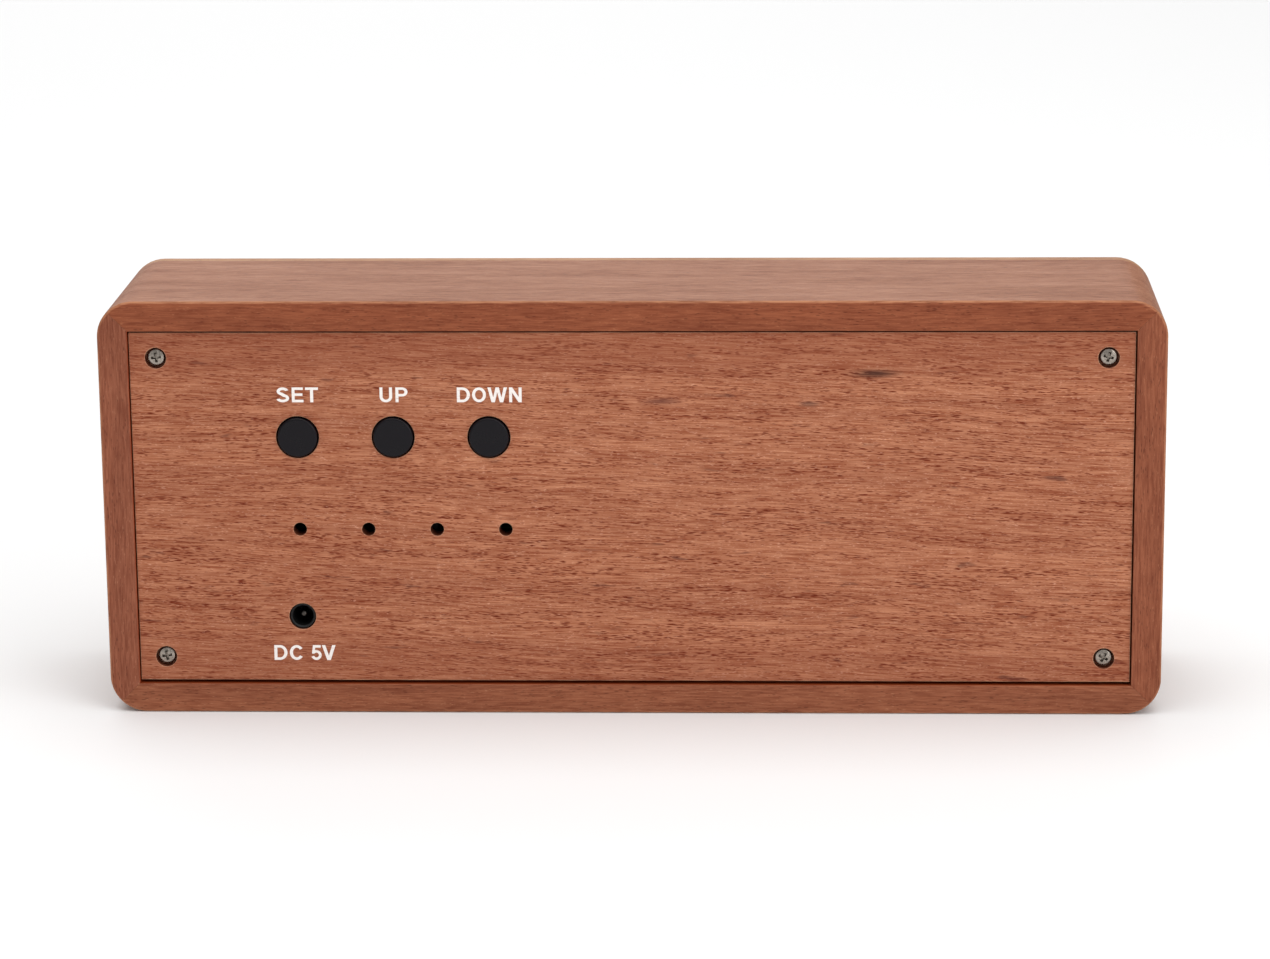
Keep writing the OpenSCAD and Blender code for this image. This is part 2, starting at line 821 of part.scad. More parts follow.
// Capacitor can on end, with the groove that is rolled in near its foot
module capacitor() {
    r = capacitor_d / 2;
    groove_at = 2 * capacitor_groove;
    color("navy") from_front(main_board_in) translate([capacitor_x, mid_z - low_row, 0])
        rotate_extrude() difference() {
            square([r, capacitor_h]);
            translate([r, groove_at + capacitor_groove / 2]) circle(d = capacitor_groove);
        }
}

module cell_holder() {
    holder_d = cell_d + 2 * cell_gap + 2 * holder_wall;
    color("black") from_front(main_board_in) translate([cell_x, mid_z, 0]) difference() {
        cylinder(d = holder_d, h = holder_floor + cell_t);
        translate([0, 0, holder_floor]) cylinder(d = cell_d + 2 * cell_gap, h = cell_t + eps);
    }
}

module coin_cell() {
    color("silver") from_front(main_board_in + holder_floor) translate([cell_x, mid_z, 0])
        cylinder(d = cell_d, h = cell_t);
}

// Spring clip across the cell, with a leg down to the board on each side
module cell_clip() {
    reach = cell_d / 2 + cell_gap + holder_wall + clip_gap;
    top = holder_floor + cell_t;
    color("lightgray") from_front(main_board_in) translate([cell_x, mid_z, 0]) {
        translate([-reach - clip_t, -clip_w / 2, top]) cube([2 * (reach + clip_t), clip_w, clip_t]);
        for (side = [0, 1]) {
            mirror([side, 0, 0]) translate([reach, -clip_w / 2, 0]) cube([clip_t, clip_w, top + clip_t]);
        }
    }
}

// Header lying on its board at z = 0, with its mouth at x = 0 and its body running to +x
module header() {
    mouth_w = plug_w + 2 * plug_gap;
    mouth_t = plug_t + 2 * plug_gap;
    difference() {
        translate([0, -header_w / 2, 0]) cube([header_len, header_w, header_h]);
        translate([-eps, -mouth_w / 2, (header_h - mouth_t) / 2])
            cube([plug_seat + plug_gap + eps, mouth_w, mouth_t]);
    }
}

module plug() {
    translate([-plug_out, -plug_w / 2, (header_h - plug_t) / 2])
        cube([plug_out + plug_seat, plug_w, plug_t]);
}

// Places of the two headers, each with its mouth towards the other
module at_main_header() {
    from_front(main_board_in) translate([main_header_x, cable_z, 0]) mirror([1, 0, 0]) children();
}

module at_key_header() {
    from_rear(key_board_in) translate([key_header_x, cable_z, 0]) children();
}

module main_header() {
    color("ivory") at_main_header() header();
}

module key_header() {
    color("ivory") at_key_header() header();
}

module cable_plugs() {
    color("white") {
        at_main_header() plug();
        at_key_header() plug();
    }
}

// Quarter bend of the flat cable about the origin, in the quarter where x and y are positive
module quarter_bend() {
    intersection() {
        difference() {
            circle(bend_r + cable_t / 2);
            circle(bend_r - cable_t / 2);
        }
        square(bend_r + cable_t);
    }
}

// Flat cable in an S from the main board's plug to the key board's plug
module flat_cable() {
    lead = (cable_run - 2 * bend_r) / 2;
    climb = cable_rise - 2 * bend_r;
    color("lightgray") translate([cable_x0, cable_y0, cable_z - cable_w / 2]) linear_extrude(cable_w) {
        translate([0, -cable_t / 2]) square([lead, cable_t]);
        translate([lead, bend_r]) mirror([0, 1]) quarter_bend();
        translate([lead + bend_r - cable_t / 2, bend_r]) square([cable_t, climb]);
        translate([lead + 2 * bend_r, bend_r + climb]) mirror([1, 0]) quarter_bend();
        translate([lead + 2 * bend_r, cable_rise - cable_t / 2]) square([lead, cable_t]);
    }
}

case_top();
case_bottom();
case_left();
case_right();
front_panel();
rear_panel();
corner_blocks();
panel_screws();
set_key();
up_key();
down_key();
set_plunger();
up_plunger();
down_plunger();
switch_bases();
switch_covers();
switch_legs();
key_board();
key_board_posts();
key_board_screws();
jack_housing();
jack_pin();
jack_contact();
buzzer();
main_board();
board_standoffs();
board_screws();
display_housing();
display_lenses();
light_chips();
clock_chip();
crystal();
capacitor();
cell_holder();
coin_cell();
cell_clip();
main_header();
key_header();
cable_plugs();
flat_cable();
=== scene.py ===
# Wooden alarm clock, shown from behind: the finish of every piece, the printed words and the studio.
import math

import bmesh
import bpy
from mathutils import Matrix, Vector


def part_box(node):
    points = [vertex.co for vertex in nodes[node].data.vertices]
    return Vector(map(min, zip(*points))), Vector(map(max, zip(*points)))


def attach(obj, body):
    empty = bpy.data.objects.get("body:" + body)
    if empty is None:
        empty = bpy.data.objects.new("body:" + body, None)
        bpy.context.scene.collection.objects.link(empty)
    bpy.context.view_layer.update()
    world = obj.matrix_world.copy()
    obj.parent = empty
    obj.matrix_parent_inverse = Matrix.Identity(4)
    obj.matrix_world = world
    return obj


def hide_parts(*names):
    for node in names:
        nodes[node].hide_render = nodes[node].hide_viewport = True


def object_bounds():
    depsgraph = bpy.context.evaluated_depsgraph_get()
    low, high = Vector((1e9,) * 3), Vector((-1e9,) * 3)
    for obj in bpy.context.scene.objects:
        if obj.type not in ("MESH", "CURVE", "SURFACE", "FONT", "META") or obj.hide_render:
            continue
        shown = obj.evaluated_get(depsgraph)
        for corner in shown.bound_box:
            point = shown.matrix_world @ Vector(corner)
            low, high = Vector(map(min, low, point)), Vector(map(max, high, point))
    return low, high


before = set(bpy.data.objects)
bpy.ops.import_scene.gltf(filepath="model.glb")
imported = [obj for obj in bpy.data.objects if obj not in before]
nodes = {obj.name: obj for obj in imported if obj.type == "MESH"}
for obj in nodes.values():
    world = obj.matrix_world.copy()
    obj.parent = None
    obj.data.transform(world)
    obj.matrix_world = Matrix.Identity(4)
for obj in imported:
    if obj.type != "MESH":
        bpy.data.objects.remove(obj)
cad_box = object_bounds()

# Case boards
# Four boards of oiled mahogany, mitred and glued at the corners, with the grain along each board.
# Planed, sanded and oiled, which leaves a satin reddish brown with fine fibres and pale flecks.
MM = 0.001
# Sizes of patterns are in millimetres, along the grain and then across it. Single fibres are too fine to
# show, so they are drawn as strands of a few tenths of a millimetre.
BOARD_LOOK = {
    # Growth bands and the fibres over them: dark and pale colour, and size
    "bands": ("#7E482D", "#985E3D"),
    "band": (36, 3.6),
    "fibres": ("#713C23", "#AB744F"),
    "fibre": (3.5, 0.28),
    "fibre_share": 0.42,
    # Size of the places where pores and marks crowd
    "crowd": (16, 2.4),
    # Spacing, reach where they are few and where they crowd, strength and colour
    "pores": (
        (1.6, 0.3, 0.12, 0.34, 0.65, "#4C2413"),
    ),
    # Size, noise level where a mark starts and is full, crowding, strength and colour
    "marks": (
        (0.8, 0.18, 0.60, 0.80, -0.2, 0.35, "#C89A6E"),
    ),
    # Middle across and up, half length and half height, softness, strength and colour
    "spots": (),
    # Colour of edges paled by wear and a painted highlight, share on rounded ones and share on sharp ones
    "wear_and_highlight": ("#CC8E68", 0.44, 0.15),
    # Size of the grain's sway, and how far it goes to either side
    "sway": (70, 16, 1.5),
    "sheen": 0.17,
    "roughness": 0.5,
    # Height of the fibres
    "relief": 0.02,
}


def colour(code):
    """Linear colour of an sRGB hex value."""
    shares = [int(code[i:i + 2], 16) / 255 for i in (1, 3, 5)]
    linear = [c / 12.92 if c <= 0.04045 else ((c + 0.055) / 1.055) ** 2.4 for c in shares]
    return (*linear, 1.0)


def add(tree, kind, settings=None, inputs=None):
    """Adds a node with its settings. An input is a value, a node (its first output) or an output."""
    made = tree.nodes.new("ShaderNode" + kind)
    for name, value in (settings or {}).items():
        setattr(made, name, value)
    sockets = [s for s in made.inputs if s.enabled]
    for name, value in (inputs or {}).items():
        socket = sockets[name] if isinstance(name, int) else next(s for s in sockets if s.name == name)
        if isinstance(value, bpy.types.Node):
            value = next(s for s in value.outputs if s.enabled)
        if isinstance(value, bpy.types.NodeSocket):
            tree.links.new(value, socket)
        else:
            socket.default_value = value
    return made


def blank(name):
    """A new material with an empty node tree."""
    material = bpy.data.materials.new(name)
    material.use_nodes = True
    material.node_tree.nodes.clear()
    return material


def dress(piece, material):
    """Gives a piece that one material."""
    piece.data.materials.clear()
    piece.data.materials.append(material)


def grained_wood(name, look, turn=(0, 0, 0), start=(0, 0, 0)):
    """Wood with its grain along x once turned: bands, fibres, pores and marks that crowd in places."""
    material = blank(name)
    tree = material.node_tree
    place = add(tree, "TexCoord").outputs["Object"]
    board = add(tree, "Mapping", {}, {"Vector": place, "Rotation": turn, "Location": start})

    def along_grain(over, length, width):
        """Coordinates drawn out along the grain, in cells of length by width millimetres."""
        cells = (1 / (length * MM), 1 / (width * MM), 1 / (width * MM))
        return add(tree, "Mapping", {}, {"Vector": over, "Scale": cells})

    def figure(over, length, width, detail):
        """Noise in such cells."""
        drawn = along_grain(over, length, width)
        return add(tree, "TexNoise", {}, {"Vector": drawn, "Scale": 1.0, "Detail": detail})

    # The grain sways a little to either side over some centimetres.
    sway_length, sway_width, sway_by = look["sway"]
    sway = figure(board, sway_length, sway_width, detail=1.0)
    shift = (0.0, 2 * sway_by * MM, 2 * sway_by * MM)
    grain = add(tree, "VectorMath", {"operation": "MULTIPLY_ADD"},
                {0: sway.outputs["Color"], 1: shift, 2: board})

    # Soft growth bands, then deep and bright fibres over them. Most noise lies between low and high.
    low, high = 0.34, 0.66
    band = figure(grain, *look["band"], detail=3.0)
    band_share = add(tree, "MapRange", {}, {"Value": band, "From Min": low, "From Max": high})
    dark, pale = (colour(code) for code in look["bands"])
    wood = add(tree, "Mix", {"data_type": "RGBA"}, {"Factor": band_share, "A": dark, "B": pale})
    fibre = figure(grain, *look["fibre"], detail=2.0)
    fibre_tone = add(tree, "MapRange", {}, {"Value": fibre, "From Min": low, "From Max": high})
    deep, bright = (colour(code) for code in look["fibres"])
    fibres = add(tree, "Mix", {"data_type": "RGBA"}, {"Factor": fibre_tone, "A": deep, "B": bright})
    wood = add(tree, "Mix", {"data_type": "RGBA"},
               {"Factor": look["fibre_share"], "A": wood, "B": fibres})

    # Pores cut lengthways are short spindles with a dark core, which crowd along some bands.
    few_at, many_at = 0.36, 0.64
    core = 0.4
    crowd = figure(grain, *look["crowd"], detail=2.0)
    for apart, across, few, many, strength, code in look["pores"]:
        spread = along_grain(grain, apart, across)
        near = add(tree, "TexVoronoi", {}, {"Vector": spread, "Scale": 1.0}).outputs["Distance"]
        reach = add(tree, "MapRange", {}, {"Value": crowd, "From Min": few_at, "From Max": many_at,
                                           "To Min": few, "To Max": many})
        inside = add(tree, "Math", {"operation": "DIVIDE"}, {0: near, 1: reach})
        share = add(tree, "MapRange", {"interpolation_type": "SMOOTHSTEP"},
                    {"Value": inside, "From Min": 1.0, "From Max": core, "To Max": strength})
        wood = add(tree, "Mix", {"data_type": "RGBA"}, {"Factor": share, "A": wood, "B": colour(code)})

    # Filled pores, dark lines and smudges are softer.
    for length, width, starts, full, crowding, strength, code in look["marks"]:
        mark = figure(grain, length, width, detail=2.0)
        level = add(tree, "Math", {"operation": "MULTIPLY_ADD"}, {0: crowd, 1: crowding, 2: mark})
        share = add(tree, "MapRange", {"interpolation_type": "SMOOTHSTEP"},
                    {"Value": level, "From Min": starts + crowding / 2, "From Max": full + crowding / 2,
                     "To Max": strength})
        wood = add(tree, "Mix", {"data_type": "RGBA"}, {"Factor": share, "A": wood, "B": colour(code)})

    # Single spots and strips end raggedly along the fibres.
    for x, z, reach, rise, soft, strength, code in look["spots"]:
        off = add(tree, "VectorMath", {"operation": "SUBTRACT"}, {0: place, 1: (x * MM, 0, z * MM)})
        drawn = add(tree, "Mapping", {}, {"Vector": off, "Scale": (1 / (reach * MM), 0, 1 / (rise * MM))})
        away = add(tree, "VectorMath", {"operation": "LENGTH"}, {0: drawn}).outputs["Value"]
        ragged = add(tree, "Math", {"operation": "MULTIPLY_ADD"}, {0: fibre, 1: soft, 2: away})
        share = add(tree, "MapRange", {"interpolation_type": "SMOOTHSTEP"},
                    {"Value": ragged, "From Min": 1 + soft, "From Max": 1 - soft / 2, "To Max": strength})
        wood = add(tree, "Mix", {"data_type": "RGBA"}, {"Factor": share, "A": wood, "B": colour(code)})

    # Faces to the front or rear are multiplied by a tint: painted shade that leaves the top
    # and the rounded edges lighter than the rims.
    face_shade_from, face_shade_full = 0.5, 0.95
    geometry = add(tree, "NewGeometry")
    facing = add(tree, "SeparateXYZ", {}, {"Vector": geometry.outputs["True Normal"]}).outputs["Y"]
    turned = add(tree, "Math", {"operation": "ABSOLUTE"}, {0: facing})
    flat = add(tree, "MapRange", {}, {"Value": turned, "From Min": face_shade_from, "From Max": face_shade_full})
    wood = add(tree, "Mix", {"data_type": "RGBA", "blend_type": "MULTIPLY"},
               {"Factor": flat, "A": wood, "B": colour(look["face_shade"])})

    # Edges are painted paler, unevenly, partly for wear from handling and partly as a painted highlight:
    # sharp ones where the eased normal leaves the face's own, and rounded ones where the face turns
    # towards the front or rear.
    wear_and_highlight, on_rounded, on_sharp = look["wear_and_highlight"]
    sharp_none, sharp_full = 0.99, 0.8
    eased = add(tree, "Bevel", {"samples": 6}, {"Radius": 0.3 * MM})
    level = add(tree, "VectorMath", {"operation": "DOT_PRODUCT"},
                {0: eased, 1: geometry.outputs["Normal"]}).outputs["Value"]
    sharp = add(tree, "MapRange", {}, {"Value": level, "From Min": sharp_none, "From Max": sharp_full,
                                       "To Max": on_sharp})
    round_from, round_full = 0.02, 0.25
    round_fades, round_ends = 0.9, 0.995
    begins = add(tree, "MapRange", {}, {"Value": turned, "From Min": round_from, "From Max": round_full})
    ends = add(tree, "MapRange", {}, {"Value": turned, "From Min": round_ends, "From Max": round_fades,
                                      "To Max": on_rounded})
    rounded = add(tree, "Math", {"operation": "MULTIPLY"}, {0: begins, 1: ends})
    edge = add(tree, "Math", {"operation": "MAXIMUM"}, {0: sharp, 1: rounded})
    least_pale, palest_at = 0.3, 0.6
    ragged = add(tree, "MapRange", {}, {"Value": fibre, "From Min": low, "From Max": palest_at,
                                        "To Min": least_pale})
    pale_share = add(tree, "Math", {"operation": "MULTIPLY"}, {0: edge, 1: ragged})
    wood = add(tree, "Mix", {"data_type": "RGBA"}, {"Factor": pale_share, "A": wood, "B": colour(wear_and_highlight)})

    # The rear panel's sawn walls and inner face are darkened: painted shade for the holes and gaps.
    # The boards' faces inside the case take a tone of their own.
    if look["walls"]:
        inward, wall_from, wall_full, wall_share, wall_colour = look["walls"]
        towards = add(tree, "VectorMath", {"operation": "DOT_PRODUCT"},
                      {0: geometry.outputs["True Normal"], 1: inward}).outputs["Value"]
        wall = add(tree, "MapRange", {}, {"Value": towards, "From Min": wall_from, "From Max": wall_full,
                                          "To Max": wall_share})
        wood = add(tree, "Mix", {"data_type": "RGBA"},
                   {"Factor": wall, "A": wood, "B": colour(wall_colour)})

    # Dense bands are smoother than open ones, and fibres stand up by hundredths of a millimetre.
    open_at, dense_at = 0.7, 1.3
    swing = 0.06
    polish = add(tree, "Math", {"operation": "ADD"}, {0: band, 1: fibre})
    rough = add(tree, "MapRange", {}, {"Value": polish, "From Min": open_at, "From Max": dense_at,
                                       "To Min": look["roughness"] + swing,
                                       "To Max": look["roughness"] - swing})
    relief = add(tree, "Bump", {}, {"Distance": look["relief"] * MM, "Height": fibre, "Normal": eased})
    surface = add(tree, "BsdfPrincipled", {},
                  {"Base Color": wood, "Roughness": rough, "IOR": 1.5,
                   "Specular IOR Level": look["sheen"], "Normal": relief})
    add(tree, "OutputMaterial", {}, {"Surface": surface})
    return material


ALONG_X = (0, 0, 0)
ALONG_Z = (0, math.radians(90), 0)
# Turn towards the inside where an inner face's tone begins and is full, and the share that it takes
INNER_FACE = (0.3, 0.8, 0.9)
# Turn and start of the grain, painted shade on the rim, direction of the inner face and its colour
BOARDS = {
    "case_top": (ALONG_X, (0.09, 0.0, 0.02), "#F4D5D3", (0, 0, -1), "#8B3512"),
    "case_bottom": (ALONG_X, (0.36, 0.07, 0.0), "#FFF2FF", (0, 0, 1), "#8B3512"),
    "case_left": (ALONG_Z, (0.15, 0.03, 0.0), "#EFD8E2", (1, 0, 0), "#8B3512"),
    "case_right": (ALONG_Z, (0.53, 0.09, 0.0), "#F3E1F4", (-1, 0, 0), "#B8502A"),
}
for board_name, (board_turn, board_start, board_face_shade, inner_way, inner_colour) in BOARDS.items():
    board_look = dict(BOARD_LOOK, face_shade=board_face_shade, walls=(inner_way, *INNER_FACE, inner_colour))
    board_wood = grained_wood("oiled_mahogany_" + board_name, board_look, board_turn, board_start)
    dress(nodes[board_name], board_wood)

# Front panel
# One full board of the same mahogany, milled from behind to a skin that the display shines through.
# Its face is like the boards, and its rounded edge is painted paler as a painted highlight.
FRONT_LOOK = dict(BOARD_LOOK, bands=("#8F5F3E", "#AE7D56"), fibres=("#80522F", "#BC8F65"),
                  face_shade="#E2C3BE", wear_and_highlight=("#D2A47C", 0.4, 0.15), walls=None)
FRONT_START = (0.2, 0.15, 0.02)
dress(nodes["front_panel"], grained_wood("oiled_mahogany_front", FRONT_LOOK, ALONG_X, FRONT_START))

# Rear panel
# A thin board of open-pored mahogany, sawn to size, drilled and left matt.
# Coarser than the case to the eye: crowded dark pores, pale streaks and ragged pale edges, the edges
# partly a painted highlight; sawn walls are darkened with painted shade.
PANEL_LOOK = {
    "bands": ("#985135", "#B46D4C"),
    "band": (45, 1.7),
    "fibres": ("#74341D", "#D29876"),
    "fibre": (5.0, 0.2),
    "fibre_share": 0.45,
    "crowd": (18, 1.3),
    "pores": (
        (2.5, 0.31, 0.16, 0.42, 1.0, "#641A02"),
        (1.4, 0.20, 0.14, 0.44, 1.0, "#6A1C03"),
    ),
    "marks": (
        (9.0, 0.2, 0.60, 0.72, 0.1, 0.45, "#6A2A14"),
        (0.7, 0.16, 0.58, 0.78, -0.2, 0.5, "#E4AE92"),
        (6.0, 1.3, 0.66, 0.80, 0.2, 0.6, "#4E2A26"),
    ),
    # Painted shade: darker strips along the top, the bottom and the socket's side, by the frame.
    # Then three dark streaks
    "spots": (
        (0, 66.5, 900, 7.5, 0.5, 0.42, "#884730"),
        (0, 5.0, 900, 8.5, 0.5, 0.25, "#884832"),
        (85, 36, 60, 80, 0.4, 0.08, "#884730"),
        (-41.2, 59.5, 4.0, 0.75, 1.0, 0.95, "#4A2A20"),
        (-30.1, 54.3, 1.9, 0.5, 1.0, 0.7, "#6A4A3E"),
        (-5.4, 54.7, 3.4, 0.6, 1.0, 0.7, "#6A3E34"),
    ),
    "face_shade": "#FFFFFF",
    "wear_and_highlight": ("#CFA182", 1.0, 1.0),
    "sway": (60, 14, 2.0),
    "sheen": 0.15,
    "roughness": 0.62,
    "relief": 0.05,
    # Direction away from the rear, turn to it where the painted shade on sawn walls begins and is full,
    # then its share and colour
    "walls": ((0, -1, 0), -0.8, -0.3, 0.8, "#4A1808"),
}
PANEL_LEAN = (0, math.radians(2.2), 0)
PANEL_START = (0.4, 0.2, 0.01)
dress(nodes["rear_panel"], grained_wood("open_pored_mahogany", PANEL_LOOK, PANEL_LEAN, PANEL_START))

# Corner blocks
# Sawn softwood glued into the corners, which the rear panel's screws bite into.
# Pale and rough from the saw, with broad soft bands and few pores.
BLOCK_LOOK = dict(PANEL_LOOK, bands=("#BC9A6C", "#D6B98B"), fibres=("#A8865A", "#E3CDA6"),
                  pores=((2.0, 0.4, 0.1, 0.2, 0.3, "#8C6A42"),), marks=(), spots=(),
                  wear_and_highlight=("#DCC59C", 1.0, 1.0), roughness=0.75, walls=None)
ALONG_Y = (0, 0, math.radians(90))
dress(nodes["corner_blocks"], grained_wood("sawn_softwood", BLOCK_LOOK, ALONG_Y))

# Panel screws
# Four small nickel-plated screws with domed cross-recessed heads, sunk in counterbores.
# Cold headed, rolled and plated: a worn grey shine with uneven marks, the recess darker as painted shade.
HEAD_R = 1.5 * MM
HEAD_H = 1.1 * MM
DOME_R = 4.5 * MM
# Rings of points on the dome, as shares of the head's radius
DOME_RINGS = (0.04, 0.2, 0.4, 0.6, 0.75)
RING_POINTS = 48
RIM_R = 0.28 * MM
RIM_STEPS = 6
# Radius of the head's underside, and height of its chamfer
UNDER_R = 0.97 * HEAD_R
UNDER_EDGE = 0.05 * MM
SHANK_R = 0.85 * MM
CORE_R = 0.62 * MM
SCREW_LEN = 8.0 * MM
POINT_LEN = 1.0 * MM
# Share of the radius that is left at the point
POINT_SHARE = 0.12
THREAD_PITCH = 0.7 * MM
# Steepness of the thread's flanks, which leaves a flat root when over 1
THREAD_SLOPE = 1.6
ROWS_A_TURN = 10
SLOT_W = 0.5 * MM
SLOT_REACH = 0.95 * MM
SLOT_DEPTH = 0.5 * MM
# Share of the slot's size that is left at its floor, and how far the cutter stands over the dome
SLOT_TAPER = 0.55
SLOT_OVER = 0.05 * MM
# A face this far under the dome is in the recess
RECESS_UNDER = 0.04 * MM
# Edges with a larger turn than this stay sharp
CREASE = math.radians(30)
# Degrees that each cross is turned by
SCREW_TURNS = {("left", "high"): 6, ("right", "high"): -15, ("left", "low"): 8, ("right", "low"): -28}


def ring_mesh(name, rings):
    """A closed mesh of revolution about z, from rows of points that run round it."""
    mesh = bmesh.new()
    rows = [[mesh.verts.new(p) for p in ring] for ring in rings]
    for low, high in zip(rows, rows[1:]):
        for i in range(len(low)):
            j = (i + 1) % len(low)
            mesh.faces.new((low[i], low[j], high[j], high[i]))
    mesh.faces.new(reversed(rows[0]))
    mesh.faces.new(rows[-1])
    data = bpy.data.meshes.new(name)
    mesh.to_mesh(data)
    mesh.free()
    return data


def plated_metal(name, tone, mark_size, roughness):
    """Rolled or plated metal: a soft mirror with uneven marks. Real ones are finer and wouldn't show."""
    material = blank(name)
    tree = material.node_tree
    place = add(tree, "TexCoord").outputs["Object"]
    fine = add(tree, "TexNoise", {}, {"Vector": place, "Scale": 1 / (mark_size * MM), "Detail": 3.0})
    dark, bright = (colour(code) for code in tone)
    metal = add(tree, "Mix", {"data_type": "RGBA"}, {"Factor": fine, "A": dark, "B": bright})
    rough = add(tree, "MapRange", {}, {"Value": fine, "To Min": roughness[0], "To Max": roughness[1]})
    relief = add(tree, "Bump", {}, {"Strength": 0.4, "Distance": 0.01 * MM, "Height": fine})
    surface = add(tree, "BsdfPrincipled", {},
                  {"Base Color": metal, "Metallic": 1.0, "Roughness": rough, "Normal": relief})
    add(tree, "OutputMaterial", {}, {"Surface": surface})
    return material


def circle(radius, height, count=RING_POINTS):
    """Points of one ring."""
    steps = [2 * math.pi * i / count for i in range(count)]
    return [(radius * math.cos(t), radius * math.sin(t), height) for t in steps]


def thread_ring(height, count=RING_POINTS):
    """Points of one ring of the shank, on a V thread that climbs by its pitch each turn."""
    taper = min(1.0, (SCREW_LEN + HEAD_H + height) / POINT_LEN)
    points = []
    for i in range(count):
        share = (-height / THREAD_PITCH + i / count) % 1.0
        ridge = max(0.0, 1 - abs(2 * share - 1) * THREAD_SLOPE)
        radius = (CORE_R + (SHANK_R - CORE_R) * ridge) * max(taper, POINT_SHARE)
        angle = 2 * math.pi * i / count
        points.append((radius * math.cos(angle), radius * math.sin(angle), height))
    return points


def dome_height(radius):
    """Height of the head's dome at a radius, with its top at 0."""
    return math.sqrt(DOME_R ** 2 - radius ** 2) - DOME_R


def screw_mesh():
    """Screw with its head's top at the origin and its point down -z."""
    dome = [circle(HEAD_R * s, dome_height(HEAD_R * s)) for s in DOME_RINGS]
    rim = dome_height(HEAD_R - RIM_R)
    turns = [math.radians(90 * k / RIM_STEPS) for k in range(1, RIM_STEPS + 1)]
    edge = [circle(HEAD_R - RIM_R * (1 - math.sin(t)), rim - RIM_R * (1 - math.cos(t))) for t in turns]
    under = [circle(HEAD_R, -HEAD_H + UNDER_EDGE), circle(UNDER_R, -HEAD_H), circle(CORE_R, -HEAD_H)]
    rows = int(SCREW_LEN / THREAD_PITCH * ROWS_A_TURN)
    shank = [thread_ring(-HEAD_H - SCREW_LEN * k / rows) for k in range(1, rows + 1)]
    body = bpy.data.objects.new("screw_body", ring_mesh("screw_body", dome + edge + under + shank))
    cross = bmesh.new()
    for turn in (0, math.pi / 2):
        made = bmesh.ops.create_cube(cross, size=1.0)["verts"]
        for vert in made:
            narrow = SLOT_TAPER if vert.co.z < 0 else 1.0
            x = vert.co.x * 2 * SLOT_REACH * narrow
            y = vert.co.y * SLOT_W * narrow
            z = -SLOT_DEPTH if vert.co.z < 0 else SLOT_OVER
            vert.co = Matrix.Rotation(turn, 3, "Z") @ Vector((x, y, z))
    recess_data = bpy.data.meshes.new("screw_recess")
    cross.to_mesh(recess_data)
    cross.free()
    recess = bpy.data.objects.new("screw_recess", recess_data)
    for piece in (body, recess):
        bpy.context.scene.collection.objects.link(piece)
    cut = body.modifiers.new("recess", "BOOLEAN")
    cut.object = recess
    cut.operation = "DIFFERENCE"
    cut.use_self = True
    ready = body.evaluated_get(bpy.context.evaluated_depsgraph_get())
    data = bpy.data.meshes.new_from_object(ready)
    data.name = "cross_head_screw"
    data.shade_smooth()
    data.set_sharp_from_angle(angle=CREASE)
    for piece in (body, recess):
        bpy.data.objects.remove(piece)
    return data


screw_nickel = plated_metal("nickel_plated_screw", ("#453F38", "#CFC4B8"),
                            mark_size=0.4, roughness=(0.16, 0.36))
# The recess takes a darker nickel: painted shade in the cross.
recess_shade_nickel = plated_metal("shaded_nickel_recess", ("#453F39", "#A0968B"),
                             mark_size=0.3, roughness=(0.2, 0.4))
screw_low, screw_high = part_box("panel_screws")
screw_data = screw_mesh()
for (across, up), degrees in SCREW_TURNS.items():
    screw_x = screw_high.x - HEAD_R if across == "left" else screw_low.x + HEAD_R
    screw_z = screw_high.z - HEAD_R if up == "high" else screw_low.z + HEAD_R
    screw = bpy.data.objects.new(f"panel_screw_{up}_{across}", screw_data.copy())
    bpy.context.scene.collection.objects.link(screw)
    to_rear = Matrix.Rotation(math.radians(-90), 4, "X") @ Matrix.Rotation(math.radians(degrees), 4, "Z")
    screw.matrix_world = Matrix.Translation((screw_x, screw_high.y, screw_z)) @ to_rear
    dress(screw, screw_nickel)
    screw.data.materials.append(recess_shade_nickel)
    for face in screw.data.polygons:
        out = face.center.xy.length
        sunk = out < SLOT_REACH and face.center.z < dome_height(out) - RECESS_UNDER
        face.material_index = 1 if sunk else 0
    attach(screw, "case")
    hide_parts("panel_screws")

# Keys
# Three round caps moulded in black ABS, with a small round edge and a flange behind the panel.
# Satin from a fine spark-eroded mould, with faint rub marks from fingers.


def moulded(name, tone, grit, roughness, specular=0.3):
    """Moulded plastic: two near tones and uneven gloss. The mould's grit is drawn coarse, so it shows."""
    rub_size = 2.5 * MM
    material = blank(name)
    tree = material.node_tree
    place = add(tree, "TexCoord").outputs["Object"]
    fine = add(tree, "TexNoise", {}, {"Vector": place, "Scale": 1 / (grit * MM), "Detail": 2.0})
    pale_share = add(tree, "TexNoise", {}, {"Vector": place, "Scale": 1 / rub_size, "Detail": 3.0})
    dark, bright = (colour(code) for code in tone)
    plastic = add(tree, "Mix", {"data_type": "RGBA"}, {"Factor": pale_share, "A": dark, "B": bright})
    rough = add(tree, "MapRange", {}, {"Value": pale_share, "From Min": 0.3, "From Max": 0.7,
                                       "To Min": roughness[0], "To Max": roughness[1]})
    relief = add(tree, "Bump", {}, {"Strength": 0.3, "Distance": 0.01 * MM, "Height": fine})
    surface = add(tree, "BsdfPrincipled", {},
                  {"Base Color": plastic, "Roughness": rough, "IOR": 1.53, "Specular IOR Level": specular,
                   "Normal": relief})
    add(tree, "OutputMaterial", {}, {"Surface": surface})
    return material


key_abs = moulded("satin_black_abs", ("#0A070B", "#0F0B12"),
                  grit=0.15, roughness=(0.24, 0.36), specular=0.17)
for key_name in ("set_key", "up_key", "down_key"):
    dress(nodes[key_name], key_abs)

